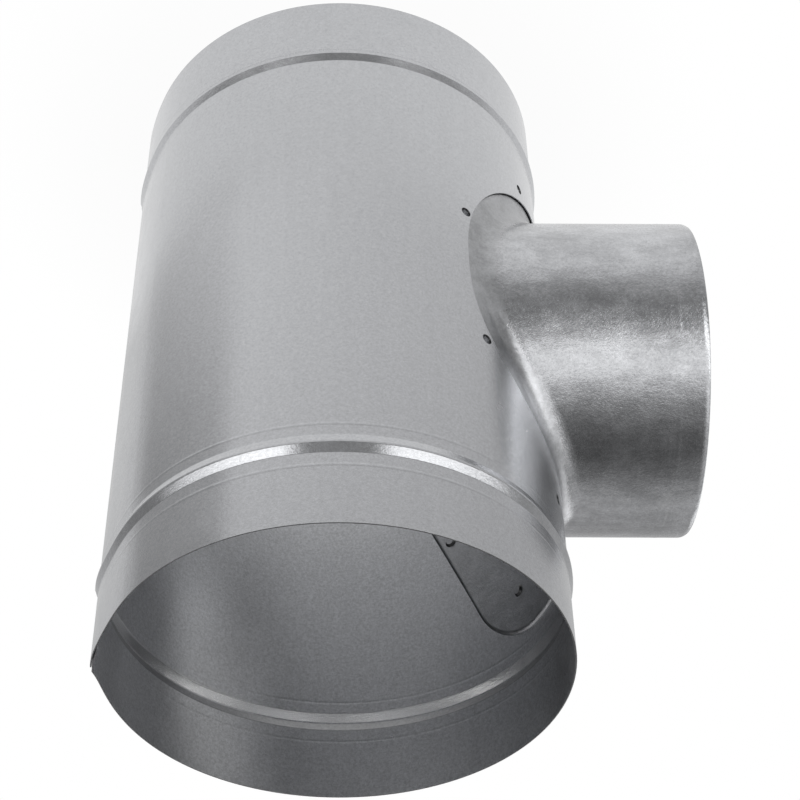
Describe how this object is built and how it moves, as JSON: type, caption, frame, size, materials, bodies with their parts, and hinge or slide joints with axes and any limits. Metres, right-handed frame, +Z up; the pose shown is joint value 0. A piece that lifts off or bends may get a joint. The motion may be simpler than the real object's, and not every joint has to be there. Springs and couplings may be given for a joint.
{
  "type": "reducing duct tee",
  "caption": "Galvanised sheet duct tee: a straight round tube with stop beads and a smaller branch drawn out of a saddle clinched inside it.",
  "frame": {"origin": "centre of the straight tube's bottom rim, on the tube's axis", "axes": "+Z up the tube's axis, +X along the branch away from the tube, the lap seam runs up the -X side"},
  "size_m": [0.269, 0.202, 0.332],
  "materials": {
    "tube_sheet": "satin galvanised",
    "saddle_sheet": "galvanised, drawn and slightly brighter"
  },
  "bodies": {
    "root": {"main_tube": "tube_sheet", "branch_saddle": "saddle_sheet"}
  },
  "joints": []
}
